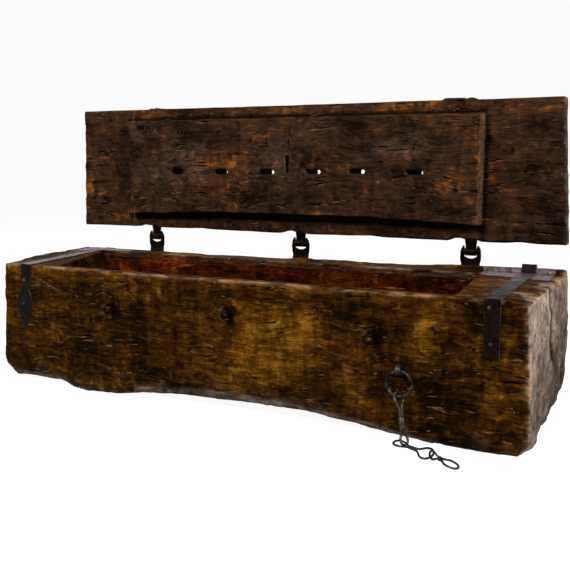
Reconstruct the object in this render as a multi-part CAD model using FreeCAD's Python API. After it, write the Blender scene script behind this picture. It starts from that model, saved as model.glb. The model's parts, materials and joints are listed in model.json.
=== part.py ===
import FreeCAD, Part
import math
import os

V = FreeCAD.Vector
os.makedirs("parts", exist_ok=True)

# Driving sizes, in millimetres.
# Origin: middle of the chest's footprint on the floor. +X along the chest to the right,
# +Y from the front to the back, +Z up.
LENGTH = 1800.0
DEPTH = 456.0
HEIGHT = 410.0

# Hollow of the trunk
FRONT_WALL = 38.0
BACK_WALL = 77.0
FLOOR_THICK = 95.0
LEDGE_DEPTH = 14.0
LEDGE_DROP = 30.0
HOLLOW_DRAFT = 10.0
LEFT_BLOCK_FRONT = 223.0
LEFT_BLOCK_BACK = 131.0
RIGHT_BLOCK_FRONT = 199.0
RIGHT_BLOCK_BACK = 229.0

# Splay of the trunk's ends: how far each stands out at the rim, and leans out below it
RIGHT_OUT = 1.0
LEFT_OUT = -13.0
END_SKEW = 17.0
RIGHT_SPLAY = 0.037
LEFT_SPLAY = 0.105
BELLY_TOP = 298.0

# Lid, measured closed
LID_GAP = 0.3
LID_SETBACK = 41.0  # from the hinge line to the lid's back edge
LID_LEFT_INSET = 21.5
LID_RIGHT_BACK = 19.0
LID_RIGHT_FRONT = -2.0
LID_THICK = 48.0
FIELD_THICK = 30.0
FIELD_MARGIN_BACK = 45.0
FIELD_MARGIN_FRONT = 45.0
FIELD_MARGIN_LEFT = 256.0
FIELD_MARGIN_RIGHT = 241.0
FIELD_SLOPE = 6.0
FIELD_BOW = 16.0
FRONT_REBATE = 3.0
KERF_WIDTH = 3.0
KERF_DEPTH = 7.0
SLOT_HEIGHT = 15.0
OPEN_ANGLE = 94.0

# Hinges
PIVOT_BEHIND = 10.0
PIVOT_ABOVE = 54.0
HINGE_POSITIONS = (-0.3211, 0.0156, 0.3461)
HINGE_BAR_RADIUS = 8.0
HINGE_PLAY = 0.4
LOOP_THICK = 5.0
LOOP_HALF_WIDTH = 18.0
LID_STRAP_WIDTH = 42.0
LID_STRAP_SETBACK = 34.0
EYE_HALF_HOLE = 19.5
EYE_SIDE = 14.0
EYE_CREST = 22.0
EYE_SILL = 33.5
EYE_PLATE = 8.0
EYE_TAIL = 150.0

# Straps, bands, nails
STRAP_THICK = 4.0
STRAP_WIDTH = 45.0
STRAP_DROP = 159.0
STRAP_BACK_DROP = 110.0
STRAP_RIGHT_INSET = 91.5
STRAP_LEFT_INSET = 108.5
BAND_INSET = 12.0
BAND_LENGTH = 218.0
BAND_FRONT_OUTER = 118.0
BAND_FRONT_INNER = 74.0
BAND_PLAY = 0.5
BAND_LIP = 7.0
NAIL_RADIUS = 2.5
NAIL_PLAY = 0.2
NAIL_HEAD = 6.5
NAIL_DOME = 2.6
NAIL_LENGTH = 30.0

# Staples, ring and links
STAPLE_BAR = 4.7
STAPLE_BITE = 32.0
STAPLES = ((-0.2417, 289.0, 13.0, 38.0, 0.0), (0.0039, 311.0, 13.0, 36.0, 0.0),
           (0.2656, 282.0, 15.5, 46.0, 16.0))
RING_STAPLE_HALF = 11.0
RING_STAPLE_REACH = 29.0
RING_STAPLE_WIDTH = 16.0
RING_STAPLE_THICK = 6.0
RING_SLACK = 2.5
RING_PLACE = (0.3117, 198.3)
RING_RADIUS = 36.5
RING_BAR = 4.5
LINK_PLAY = 0.3
HASP_BAR = 3.9
LINK_BAR = 3.25

# Values worked out from the sizes above
HALF_L = LENGTH / 2.0
FRONT = -DEPTH / 2.0
BACK = DEPTH / 2.0
INNER_FRONT = FRONT + FRONT_WALL
INNER_BACK = BACK - BACK_WALL
LEDGE_BACK = INNER_BACK + LEDGE_DEPTH
LID_UNDER = HEIGHT + STRAP_THICK + LID_GAP
LID_TOP = LID_UNDER + LID_THICK
LID_BACK = BACK + PIVOT_BEHIND - LID_SETBACK
LID_DEPTH = LID_BACK - FRONT
FIELD_FACE = LID_UNDER - FIELD_THICK
FIELD_FRONT = FRONT + FIELD_MARGIN_FRONT
FIELD_BACK = LID_BACK - FIELD_MARGIN_BACK
FIELD_LEFT = -HALF_L + FIELD_MARGIN_LEFT
FIELD_RIGHT = HALF_L - FIELD_MARGIN_RIGHT
PIVOT = V(0, BACK + PIVOT_BEHIND, HEIGHT + PIVOT_ABOVE)
LOOP_OUTER = HINGE_BAR_RADIUS + HINGE_PLAY + LOOP_THICK
LOOP_INNER = HINGE_BAR_RADIUS + HINGE_PLAY
HINGES = [position * LENGTH for position in HINGE_POSITIONS]
SIDES = ("left", "middle", "right")
CUT_SLACK = 5.0
CUT_NUDGE = 0.02


def box(x0, x1, y0, y1, z0, z1):
    return Part.makeBox(x1 - x0, y1 - y0, z1 - z0, V(x0, y0, z0))


def prism(points, along):
    """Polygon through points, drawn out along a vector."""
    wire = Part.makePolygon([V(*p) for p in points] + [V(*points[0])])
    return Part.Face(wire).extrude(V(*along))


def plate_xy(points, z, thick):
    return prism([(x, y, z) for x, y in points], (0, 0, thick))


def plate_xz(points, y, thick):
    return prism([(x, y, z) for x, z in points], (0, thick, 0))


def plate_yz(points, x, width):
    return prism([(x, y, z) for y, z in points], (width, 0, 0))


def join(shapes):
    solid = shapes[0].multiFuse(shapes[1:]).removeSplitter()
    return solid.Solids[0] if len(solid.Solids) == 1 else solid


def cut(shape, tools):
    result = shape
    for tool in tools:
        result = result.cut(tool)
    return result.Solids[0] if len(result.Solids) == 1 else result


def carve(shape, tools):
    """Cut tools one by one, and check that each took away what it shares with the shape."""
    result = shape
    for tool in tools:
        shared = result.common(tool).Volume
        left = result.cut(tool)
        if abs(result.Volume - left.Volume - shared) > CUT_SLACK + 0.02 * shared:
            moved = tool.copy()
            moved.translate(V(CUT_NUDGE, CUT_NUDGE, 0))
            left = result.cut(moved)
        result = left
    return result.Solids[0] if len(result.Solids) == 1 else result


def export(name, shape):
    shape.exportStep("parts/" + name + ".step")


def to_open(shape):
    """Turn a shape drawn with the lid closed into the open rest pose."""
    turned = shape.copy()
    turned.rotate(PIVOT, V(1, 0, 0), -OPEN_ANGLE)
    return turned


def nail(head, direction, length=NAIL_LENGTH):
    """Forged nail: low domed head at head, shank running along direction."""
    axis = V(*direction)
    seat = V(*head)
    shank = Part.makeCylinder(NAIL_RADIUS, length, seat, axis)
    ball_radius = (NAIL_HEAD ** 2 + NAIL_DOME ** 2) / (2 * NAIL_DOME)
    ball = Part.makeSphere(ball_radius, seat + axis * (ball_radius - NAIL_DOME))
    disc = Part.makeCylinder(NAIL_HEAD + 1, NAIL_DOME + 1, seat, axis * -1)
    return join([ball.common(disc), shank])


def nail_hole(head, direction, length=NAIL_LENGTH):
    axis = V(*direction)
    radius = NAIL_RADIUS + NAIL_PLAY
    return Part.makeCylinder(radius, length + NAIL_PLAY, V(*head), axis)


def closed_bar(points, radius):
    """Round bar bent into a closed link through the points, swept in a few runs and joined."""
    curve = Part.BSplineCurve()
    curve.interpolate([V(*p) for p in points], PeriodicFlag=True)
    first = curve.FirstParameter
    last = curve.LastParameter
    expected = curve.length() * math.pi * radius ** 2
    for count in (6, 3, 8, 4, 5, 7, 9, 2):
        runs = []
        for i in range(count):
            u0 = first + (last - first) * i / count
            u1 = first + (last - first) * (i + 1) / count
            circle = Part.Wire(Part.makeCircle(radius, curve.value(u0), curve.tangent(u0)[0]))
            runs.append(Part.Solid(Part.Wire(curve.toShape(u0, u1)).makePipeShell([circle], True)))
        whole = join(runs)
        if len(whole.Solids) == 1 and whole.isValid() and abs(whole.Volume / expected - 1) < 0.01:
            return whole
    raise RuntimeError("bar did not close")


def link(start, along, across, profile, radius, roll=None):
    """Closed link: profile gives (distance along, half width) on one side."""
    a = V(*along).normalize()
    w = V(*across)
    w = (w - a * w.dot(a)).normalize()
    n = a.cross(w)
    points = []
    for sign, run in ((1, profile), (-1, profile[-2:0:-1])):
        for s, half in run:
            angle = math.radians(roll(s)) if roll else 0.0
            side = w * math.cos(angle) + n * math.sin(angle)
            p = V(*start) + a * s + side * (sign * half)
            points.append((p.x, p.y, p.z))
    return closed_bar(points, radius)


# Trunk: ruled loft of hewn sections. Each row gives the place along the trunk as a share of half
# its length, then the lower front edge, a point on the front wane, the front edge of the underside,
# its back edge and the lower back edge. Points are (distance in from the face, height).
SECTIONS = (
    (-1.000, (0, 70), (6, 46), (60, 30), (80, 36), 88),
    (-0.975, (0, 36), (8, 11), (50, 8), (76, 24), 72),
    (-0.880, (-2, 38), (8, 16), (56, 10), (74, 12), 58),
    (-0.760, (-4, 34), (6, 14), (44, 4), (72, 4), 52),
    (-0.677, (-10, 24), (-8, 3), (-2, 0), (68, 0), 48),
    (-0.605, (-24, 22), (-25, 3), (-20, 0), (66, 0), 47),
    (-0.533, (-16, 24), (-16, 3), (-10, 0), (64, 0), 46),
    (-0.463, (-8, 28), (-7, 4), (0, 0), (64, 0), 46),
    (-0.371, (0, 40), (10, 13), (60, 0), (66, 0), 46),
    (-0.257, (0, 50), (14, 23), (110, 0), (70, 0), 48),
    (-0.112, (0, 58), (18, 27), (140, 0), (74, 0), 50),
    (0.014, (0, 58), (18, 29), (150, 0), (76, 0), 50),
    (0.210, (0, 54), (12, 33), (145, 0), (74, 0), 48),
    (0.333, (0, 48), (10, 31), (125, 0), (72, 0), 46),
    (0.440, (-2, 40), (8, 22), (84, 0), (70, 0), 46),
    (0.556, (-6, 30), (4, 11), (34, 0), (68, 0), 46),
    (0.622, (-10, 24), (0, 7), (20, 0), (68, 0), 46),
    (0.700, (-13, 20), (-8, 4), (4, 0), (66, 0), 48),
    (0.799, (-18, 16), (-16, 3), (-10, 0), (66, 0), 50),
    (0.900, (-22, 16), (-21, 3), (-16, 0), (64, 0), 52),
    (0.965, (-16, 16), (-14, 3), (-9, 0), (64, 0), 54),
    (0.985, (-13, 18), (-11, 3), (-7, 0), (64, 0), 54),
    (1.000, (-2, 36), (4, 24), (30, 16), (64, 30), 80),
)
FOOT_DEPTH = 2.0


def end_x(side, y, z):
    """Face of the trunk's right (side 1) or left (side -1) end at a point."""
    out, splay = (RIGHT_OUT, RIGHT_SPLAY) if side > 0 else (LEFT_OUT, LEFT_SPLAY)
    return side * (HALF_L + out + END_SKEW * (y - FRONT) / DEPTH + splay * (HEIGHT - z))


def section(share, low_front, wane, base_front, base_back, low_back):
    """Outline of the trunk at one station; flat footing is drawn deep and planed off later."""
    corners = [(FRONT, HEIGHT), (FRONT, HEIGHT - BELLY_TOP), (FRONT + low_front[0], low_front[1]),
               (FRONT + wane[0], wane[1]), (FRONT + base_front[0], base_front[1]),
               (BACK - base_back[0], base_back[1]), (BACK, low_back), (BACK, HEIGHT)]
    points = []
    for y, z in corners:
        z = z if z > 0 else -FOOT_DEPTH
        x = end_x(share, y, z) if abs(share) == 1 else share * HALF_L
        points.append(V(x, y, z))
    return Part.makePolygon(points + [points[0]])


def hollow():
    """Hollow of the trunk, narrower at its floor than at the rim."""
    left_front = -HALF_L + LEFT_BLOCK_FRONT
    left_back = -HALF_L + LEFT_BLOCK_BACK
    right_front = HALF_L - RIGHT_BLOCK_FRONT
    right_back = HALF_L - RIGHT_BLOCK_BACK
    top = ((left_front, INNER_FRONT), (right_front, INNER_FRONT),
           (right_back, INNER_BACK), (left_back, INNER_BACK))
    inset = ((1, 1), (-1, 1), (-1, -1), (1, -1))
    rings = []
    for z, shrink in ((FLOOR_THICK, HOLLOW_DRAFT), (HEIGHT + 1, 0.0)):
        ring = [V(x + i * shrink, y + j * shrink, z) for (x, y), (i, j) in zip(top, inset)]
        rings.append(Part.makePolygon(ring + [ring[0]]))
    well = Part.makeLoft(rings, True, True)
    ledge = box(left_back + 3, right_back - 1, INNER_BACK - 20, LEDGE_BACK,
                HEIGHT - LEDGE_DROP, HEIGHT + 1)
    return [well, ledge]


def band_outline(side, play=0.0):
    """Rear band let into the top of an end block; side is -1 left, 1 right."""
    outer = HALF_L - BAND_INSET
    inner = outer - BAND_LENGTH
    start = (outer, BACK - BAND_FRONT_OUTER)
    if side > 0:
        front = (start, (inner, BACK - BAND_FRONT_INNER))
    else:
        lip = LEDGE_BACK + BAND_LIP
        front = (start, (HALF_L - LEFT_BLOCK_BACK + BAND_LIP, lip), (inner, lip))
    points = [(side * (outer + play), BACK)]
    points += [(side * (x + (play if x == outer else -play)), y - play) for x, y in front]
    points += [(side * (inner - play), BACK)]
    return points


def leaf_side(points, y, thick, centre):
    """Smooth outlined leaf of the left strap: rows of (height, left, right)."""
    edges = []
    for column, order in ((1, 1), (2, -1)):
        run = [V(centre + row[column], y, row[0]) for row in points][::order]
        curve = Part.BSplineCurve()
        curve.interpolate(run)
        edges.append(curve.toShape())
    top = Part.makeLine(edges[1].Vertexes[-1].Point, edges[0].Vertexes[0].Point)
    low = Part.makeLine(edges[0].Vertexes[-1].Point, edges[1].Vertexes[0].Point)
    face = Part.Face(Part.Wire([edges[0], low, edges[1], top]))
    return face.extrude(V(0, thick, 0))


def end_strap(centre, width, drop):
    """Strap folded over an end block: front leaf, top, back leaf with a raised knuckle."""
    x0 = centre - width / 2.0
    t = STRAP_THICK
    outline = ((FRONT, HEIGHT - drop), (FRONT - t, HEIGHT - drop), (FRONT - t, HEIGHT + t - 2),
               (FRONT - t + 2, HEIGHT + t), (BACK + t - 2, HEIGHT + t), (BACK + t, HEIGHT + t - 2),
               (BACK + t, HEIGHT - STRAP_BACK_DROP), (BACK, HEIGHT - STRAP_BACK_DROP),
               (BACK, HEIGHT), (FRONT, HEIGHT))
    knuckle = Part.makeCylinder(7, width, V(x0, BACK - 4, HEIGHT + t), V(1, 0, 0))
    block = box(x0 - 1, x0 + width + 1, FRONT, BACK, 0, HEIGHT)
    return join([plate_yz(outline, x0, width), knuckle.cut(block)])


def staple(x, z, half, reach, turn):
    """Round bar driven in as a U, one leg above the other, turned a little to one side."""
    length = STAPLE_BITE + reach - STAPLE_BAR - half
    nose = FRONT - reach + STAPLE_BAR + half
    legs = [Part.makeCylinder(STAPLE_BAR, length, V(x, nose, z + s * half), V(0, 1, 0))
            for s in (1, -1)]
    torus = Part.makeTorus(half, STAPLE_BAR, V(x, nose, z), V(1, 0, 0))
    reach_box = box(x - 20, x + 20, nose - 2 * half - 20, nose, z - 40, z + 40)
    bar = join(legs + [torus.common(reach_box)])
    bar.rotate(V(x, FRONT, z), V(0, 0, 1), -turn)
    return bar


def staple_holes(x, z, half, turn):
    holes = []
    for s in (1, -1):
        hole = Part.makeCylinder(STAPLE_BAR + NAIL_PLAY, STAPLE_BITE + 10 + NAIL_PLAY,
                                 V(x, FRONT - 10, z + s * half), V(0, 1, 0))
        hole.rotate(V(x, FRONT, z), V(0, 0, 1), -turn)
        holes.append(hole)
    return holes


def ring_staple(x, z, half, reach):
    """Flat bar bent into a U, one leg above the other, that carries the ring."""
    wide = RING_STAPLE_WIDTH / 2.0
    thick = RING_STAPLE_THICK / 2.0
    nose = FRONT - reach + half + thick
    legs = [box(x - wide, x + wide, nose, FRONT + STAPLE_BITE, z + s * half - thick,
                z + s * half + thick) for s in (1, -1)]
    start = V(x - wide, nose, z)
    bend = Part.makeCylinder(half + thick, 2 * wide, start, V(1, 0, 0))
    bend = bend.cut(Part.makeCylinder(half - thick, 2 * wide, start, V(1, 0, 0)))
    front_half = box(x - 2 * wide, x + 2 * wide, nose - 2 * half - 20, nose, z - 40, z + 40)
    return join(legs + [bend.common(front_half)])


def ring_staple_holes(x, z, half):
    wide = RING_STAPLE_WIDTH / 2.0 + NAIL_PLAY
    thick = RING_STAPLE_THICK / 2.0 + NAIL_PLAY
    return [box(x - wide, x + wide, FRONT - 1, FRONT + STAPLE_BITE + NAIL_PLAY,
                z + s * half - thick, z + s * half + thick) for s in (1, -1)]


def eye_plate(x):
    """Fixed half of a hinge: tail on the back face, joggle and eye with a round top bar."""
    y_out = BACK + EYE_PLATE
    y0 = PIVOT.y - EYE_PLATE / 2.0
    low = HEIGHT + 15
    outer = EYE_HALF_HOLE + EYE_SIDE
    tail = plate_xz(((x - 30, HEIGHT - 14), (x - 23, HEIGHT - 30), (x - 20, HEIGHT - EYE_TAIL + 20),
                     (x, HEIGHT - EYE_TAIL), (x + 20, HEIGHT - EYE_TAIL + 20),
                     (x + 23, HEIGHT - 30), (x + 30, HEIGHT - 14)), BACK, EYE_PLATE)
    joggle = plate_yz(((BACK, HEIGHT - 14), (y_out, HEIGHT - 14), (y0 + EYE_PLATE, low),
                       (y0, low)), x - 30, 60)
    top = PIVOT.z + EYE_CREST
    side_points = ((outer - 4, low), (outer - 1, low + 8), (outer, low + 22), (outer, PIVOT.z - 4),
                   (outer - 1.2, PIVOT.z + 5), (outer - 4, PIVOT.z + 12), (outer - 8, top - 4),
                   (outer - 12, top), (EYE_HALF_HOLE + 0.3, top - 1), (EYE_HALF_HOLE, top - 6),
                   (EYE_HALF_HOLE, low))
    sides = [plate_xz([(x + s * a, b) for a, b in side_points], y0, EYE_PLATE) for s in (1, -1)]
    sill = HEIGHT + EYE_SILL
    cross_points = ((-EYE_HALF_HOLE - 1, low), (EYE_HALF_HOLE + 1, low), (EYE_HALF_HOLE + 1, sill + 6),
                    (EYE_HALF_HOLE - 2, sill + 5), (9, sill + 1), (4, sill), (-4, sill), (-9, sill + 1),
                    (-EYE_HALF_HOLE + 2, sill + 5), (-EYE_HALF_HOLE - 1, sill + 6))
    cross = plate_xz([(x + a, b) for a, b in cross_points], y0, EYE_PLATE)
    bar = Part.makeCylinder(HINGE_BAR_RADIUS, 2 * EYE_HALF_HOLE + 16,
                            V(x - EYE_HALF_HOLE - 8, PIVOT.y, PIVOT.z), V(1, 0, 0))
    return join([tail, joggle, cross, bar] + sides)


def lid_strap(x, lead, tines):
    """Moving half of a hinge, drawn closed: rolled loop, arm and strap on the lid's outer face."""
    half = LID_STRAP_WIDTH / 2.0
    arm_y = PIVOT.y - LOOP_OUTER - 7
    outline = [(x + LOOP_HALF_WIDTH, PIVOT.y - LOOP_INNER - 2), (x + LOOP_HALF_WIDTH, arm_y),
               (x + half, LID_BACK), (x + lead + half, FRONT + LID_STRAP_SETBACK),
               (x + lead, FRONT + LID_STRAP_SETBACK - 14),
               (x + lead - half, FRONT + LID_STRAP_SETBACK), (x - half, LID_BACK),
               (x - LOOP_HALF_WIDTH, arm_y), (x - LOOP_HALF_WIDTH, PIVOT.y - LOOP_INNER - 2)]
    strap = plate_xy(outline, LID_TOP, LOOP_THICK)
    loop = Part.makeCylinder(LOOP_OUTER, 2 * LOOP_HALF_WIDTH,
                             V(x - LOOP_HALF_WIDTH, PIVOT.y, PIVOT.z), V(1, 0, 0))
    bore = Part.makeCylinder(LOOP_INNER, 2 * LOOP_HALF_WIDTH + 2,
                             V(x - LOOP_HALF_WIDTH - 1, PIVOT.y, PIVOT.z), V(1, 0, 0))
    shapes = [strap, loop]
    for x0, x1, drop in tines:
        root = FRONT + LID_STRAP_SETBACK + 6
        near = min(max(x + x0, x + lead - half), x + lead + half - 8)
        far = max(min(x + x1, x + lead + half), x + lead - half + 8)
        shapes.append(plate_xy(((near, root), (far, root), (x + x1, FRONT + 12), (x + x1, FRONT),
                                (x + x0, FRONT), (x + x0, FRONT + 12)), LID_TOP, LOOP_THICK))
        fold = ((FRONT, LID_TOP + LOOP_THICK), (FRONT - LOOP_THICK + 2, LID_TOP + LOOP_THICK),
                (FRONT - LOOP_THICK, LID_TOP + LOOP_THICK - 2), (FRONT - LOOP_THICK, LID_TOP - drop),
                (FRONT, LID_TOP - drop))
        shapes.append(plate_yz(fold, x + x0, x1 - x0))
    return cut(join(shapes), [bore])


# Iron on the trunk: nails, holes and recesses are gathered here, then cut from the wood.
trunk_tools = hollow()
nail_groups = {}
plates = {}


def nailed(name, shape, heads, direction, thick, length=NAIL_LENGTH):
    """Record a nailed piece, its nails, and their holes through it."""
    holes = [nail_hole(head, direction, length) for head in heads]
    plates[name] = cut(shape, holes)
    nail_groups[name + "_nails"] = [nail(head, direction, length) for head in heads]
    return holes


right_x = HALF_L - STRAP_RIGHT_INSET
left_x = -HALF_L + STRAP_LEFT_INSET
right_strap = end_strap(right_x, STRAP_WIDTH, STRAP_DROP)
left_top = end_strap(left_x, 47.0, 20.0)
LEAF = ((HEIGHT - 4, -24, 25), (HEIGHT - 30, -26, 22), (HEIGHT - 60, -27, 13), (HEIGHT - 80, -28, 8),
        (HEIGHT - 103, -42, 12), (HEIGHT - 128, -55, 18), (HEIGHT - 152, -54, 13),
        (HEIGHT - 185, -44, 0), (HEIGHT - 215, -33, -14), (HEIGHT - 242, -26, -22))
left_leaf = leaf_side(LEAF, FRONT - STRAP_THICK, STRAP_THICK, left_x)
left_strap = join([left_top, left_leaf])

strap_face = FRONT - STRAP_THICK
back_face = BACK + STRAP_THICK
front_in = (0, 1, 0)
back_in = (0, -1, 0)
for name, shape, front_heads, x in (
        ("end_strap_right", right_strap, ((8.5 - 17, HEIGHT - 21), (-2.5, HEIGHT - 117)), right_x),
        ("end_strap_left", left_strap, ((-12, HEIGHT - 52), (-21, HEIGHT - 138)), left_x)):
    fronts = [(x + dx, strap_face, z) for dx, z in front_heads]
    backs = [(x, back_face, HEIGHT - d) for d in (32.0, 88.0)]
    holes = [nail_hole(h, front_in) for h in fronts] + [nail_hole(h, back_in) for h in backs]
    plates[name] = cut(shape, holes)
    nail_groups[name + "_nails"] = ([nail(h, front_in) for h in fronts]
                                    + [nail(h, back_in) for h in backs])
    trunk_tools += holes

for name, side in (("rear_band_left", -1), ("rear_band_right", 1)):
    band = plate_xy(band_outline(side), HEIGHT - STRAP_THICK, STRAP_THICK)
    trunk_tools.append(plate_xy(band_outline(side, BAND_PLAY), HEIGHT - STRAP_THICK, STRAP_THICK + 1))
    heads = [(side * (HALF_L - BAND_INSET - d), BACK - w, HEIGHT) for d, w in
             ((22, 52), (22, 20), (180, 18), (204, 36))]
    studs = []
    for head in heads:
        top = V(*head)
        disc = Part.makeCylinder(5, 2, top, V(0, 0, -1))
        shank = Part.makeCylinder(NAIL_RADIUS, NAIL_LENGTH, top, V(0, 0, -1))
        studs.append(join([disc, shank]))
        seat = Part.makeCylinder(5 + NAIL_PLAY, 2, top, V(0, 0, -1))
        hole = nail_hole(head, (0, 0, -1))
        band = cut(band, [seat, hole])
        trunk_tools.append(hole)
    plates[name] = band
    nail_groups[name + "_nails"] = studs

for side, x in zip(SIDES, HINGES):
    face = BACK + EYE_PLATE
    heads = [(x - 9, face, HEIGHT - 34), (x + 9, face, HEIGHT - 62), (x, face, HEIGHT - 104)]
    trunk_tools += nailed("eye_plate_" + side, eye_plate(x), heads, back_in, EYE_PLATE)

for side, (share, z, half, reach, turn) in zip(SIDES, STAPLES):
    x = share * LENGTH
    plates["lock_staple_" + side] = staple(x, z, half, reach, turn)
    trunk_tools += staple_holes(x, z, half, turn)
ring_x = RING_PLACE[0] * LENGTH
ring_z = RING_PLACE[1]
plates["ring_staple"] = ring_staple(ring_x, ring_z, RING_STAPLE_HALF, RING_STAPLE_REACH)
trunk_tools += ring_staple_holes(ring_x, ring_z, RING_STAPLE_HALF)

log = Part.makeLoft([section(*row) for row in SECTIONS], True, True)
footing = box(-LENGTH, LENGTH, -DEPTH, DEPTH, -2 * FOOT_DEPTH, 0)
trunk = carve(log, [footing] + trunk_tools)

# Lid, drawn closed
field_rows = []
for i in range(9):
    share = i / 8.0
    bow = FIELD_BOW * (1 - (2 * share - 1) ** 2)
    field_rows.append((FIELD_LEFT + share * (FIELD_RIGHT - FIELD_LEFT), FIELD_BACK - bow))
face_ring = [(FIELD_LEFT, FIELD_FRONT), (FIELD_RIGHT, FIELD_FRONT)] + field_rows[::-1]
foot_ring = [(x + (FIELD_SLOPE if x > 0 else -2) * (abs(x) > FIELD_RIGHT - 5), y)
             for x, y in face_ring]
rings = []
for ring, z in ((face_ring, FIELD_FACE), (foot_ring, LID_UNDER + 5)):
    points = [V(x, y, z) for x, y in ring]
    rings.append(Part.makePolygon(points + [points[0]]))
field = Part.makeLoft(rings, True, True)
lid_left = -HALF_L + LID_LEFT_INSET
board = plate_xy(((lid_left, FRONT), (HALF_L + LID_RIGHT_FRONT, FRONT),
                  (HALF_L + LID_RIGHT_BACK, LID_BACK), (lid_left, LID_BACK)), LID_UNDER, LID_THICK)
kerf_left = FIELD_LEFT - 3
kerf_right = FIELD_RIGHT + 9
rebate = box(kerf_left, kerf_right, FRONT - 1, FIELD_FRONT - 4, LID_UNDER - 1,
             LID_UNDER + FRONT_REBATE)
kerfs = [box(x - KERF_WIDTH / 2, x + KERF_WIDTH / 2, FRONT - 1, FRONT + 36, LID_UNDER - 1,
             LID_UNDER + KERF_DEPTH) for x in (kerf_left, kerf_right)]

SLOTS = ((-433, 48, 200), (-249.5, 53, 200), (-68, 60, 200.5), (104.5, 55, 202.5), (261, 58, 204),
         (454, 56, 202.5))
SLOT_UPRIGHT = (9, 12, 195, 256)
slot_tools = []
slot_scale = LENGTH / 1800.0
for centre, width, rise in SLOTS:
    half = (width - SLOT_HEIGHT) / 2.0
    y = LID_BACK - rise
    bar = box(centre * slot_scale - half, centre * slot_scale + half, y - SLOT_HEIGHT / 2,
              y + SLOT_HEIGHT / 2, FIELD_FACE - 1, LID_TOP + 1)
    ends = [Part.makeCylinder(SLOT_HEIGHT / 2, LID_TOP - FIELD_FACE + 2,
                              V(centre * slot_scale + s * half, y, FIELD_FACE - 1)) for s in (1, -1)]
    slot_tools.append(join([bar] + ends))
centre, width, near, far = SLOT_UPRIGHT
slot_tools.append(box(centre - width / 2, centre + width / 2, LID_BACK - far, LID_BACK - near,
                      FIELD_FACE - 1, LID_TOP + 1))

lid_tools = [rebate] + kerfs + slot_tools
lid_plates = {}
lid_nails = {}
down = (0, 0, -1)
strap_top = LID_TOP + LOOP_THICK
STRAP_PLAN = ((18.0, ((2.0, 24.0, 26.0), (32.0, 44.0, 18.0))),
              (34.0, ()),
              (-45.0, ((-88.0, -24.0, 24.0), (-16.0, 6.0, 26.0))))
for side, x, (lead, tines) in zip(SIDES, HINGES, STRAP_PLAN):
    strap = lid_strap(x, lead, tines)
    heads = []
    for share in (0.06, 0.33, 0.62, 0.90):
        y = LID_BACK - share * (LID_DEPTH - LID_STRAP_SETBACK)
        heads.append((x + lead * share + (4 if len(heads) % 2 else -4), y, strap_top))
    holes = [nail_hole(head, down) for head in heads]
    lid_plates["lid_strap_" + side] = cut(strap, holes)
    lid_nails["lid_strap_" + side + "_nails"] = [nail(head, down) for head in heads]
    lid_tools += holes

# Older nails driven through the lid and clinched over on the raised field
CLINCHED = ((-67.5, 287, 34), (-65.5, 141, 30), (15, 310, -34), (18, 322, 34), (453, 246, -32),
            (451, 272, 30), (450, 328, 32))
clinched = []
for x, rise, reach in CLINCHED:
    head = (x * slot_scale, LID_BACK - rise, LID_TOP)
    through = LID_TOP - FIELD_FACE
    bend = V(head[0], head[1], FIELD_FACE - NAIL_RADIUS)
    shank = nail(head, down, through + NAIL_RADIUS)
    knee = Part.makeSphere(NAIL_RADIUS, bend)
    tip = Part.makeCone(NAIL_RADIUS, 1.2, abs(reach), bend, V(0, -math.copysign(1, reach), 0))
    clinched.append(join([shank, knee, tip]))
    lid_tools.append(nail_hole(head, down, through + 4))

lid = cut(join([board, field]), lid_tools)

# Ring, hanging on the lower leg of its staple, and the links
ring_y = FRONT - RING_STAPLE_REACH + RING_STAPLE_THICK + RING_BAR + RING_SLACK
leg_top = ring_z - RING_STAPLE_HALF + RING_STAPLE_THICK / 2.0
ring_rise = 1.1
ring_centre = V(ring_x, ring_y, leg_top + LINK_PLAY + ring_rise + RING_BAR - RING_RADIUS)
pull_ring = Part.makeTorus(RING_RADIUS, RING_BAR, ring_centre, V(0, 1, 0))
ring_foot = ring_centre - V(0, 0, RING_RADIUS)

# Hasp link: its pear-shaped loop hangs on the ring, its foot rests on the floor
FOOT_EYE = 11.5
FOOT_OUT = V(33, -44, 0)
HASP_ACROSS = V(0.574, 0.819, 0)
HASP_SHIFT = -1.0
HASP_PROFILE = [(0, 0), (1.8, 7.0), (6.5, 12.3), (14, 14.5), (23, 13.2), (32, 9.2), (41, 5.4),
                (50, 4.2), (67, 4.2), (85, 4.2), (102, 4.2), (112, 4.7), (119, 7.6),
                (125.5, 10.8), (132.5, FOOT_EYE), (139, 9.6), (143, 5.4), (144.2, 0)]
foot = V(ring_x, ring_y, 2 * LINK_PLAY + HASP_BAR + FOOT_EYE) + FOOT_OUT
fall = foot - ring_foot
fall.normalize()
sideways = HASP_ACROSS - fall * HASP_ACROSS.dot(fall)
sideways.normalize()
hasp_start = foot - fall * (HASP_PROFILE[-1][0] - FOOT_EYE) + sideways * HASP_SHIFT
hasp = link(hasp_start, fall, HASP_ACROSS, HASP_PROFILE, HASP_BAR)

# Middle link: its left loop rests on the foot of the hasp link, its right eye on the floor
CHAIN_DIR = V(0.9, -0.436, 0)
CHAIN_ACROSS = V(0.436, 0.9, 0)
LEFT_ROLL = 12.0
RIGHT_ROLL = 28.0
LEFT_HALF = 12.7
RIGHT_HALF = 18.7
LEFT_AT = 25.0
RIGHT_AT = 117.0
MIDDLE_PROFILE = [(0, 0), (1.5, 5.8), (5.5, 10.3), (12, 12.6), (22, LEFT_HALF), (32, 11.0),
                  (41, 7.0), (50, 3.9), (62, 3.5), (76, 3.5), (86, 4.1), (94, 7.6), (101, 13.0),
                  (109, 17.2), (RIGHT_AT, RIGHT_HALF), (126, 17.4), (134, 12.4), (138.3, 6.4),
                  (139.5, 0)]


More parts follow.
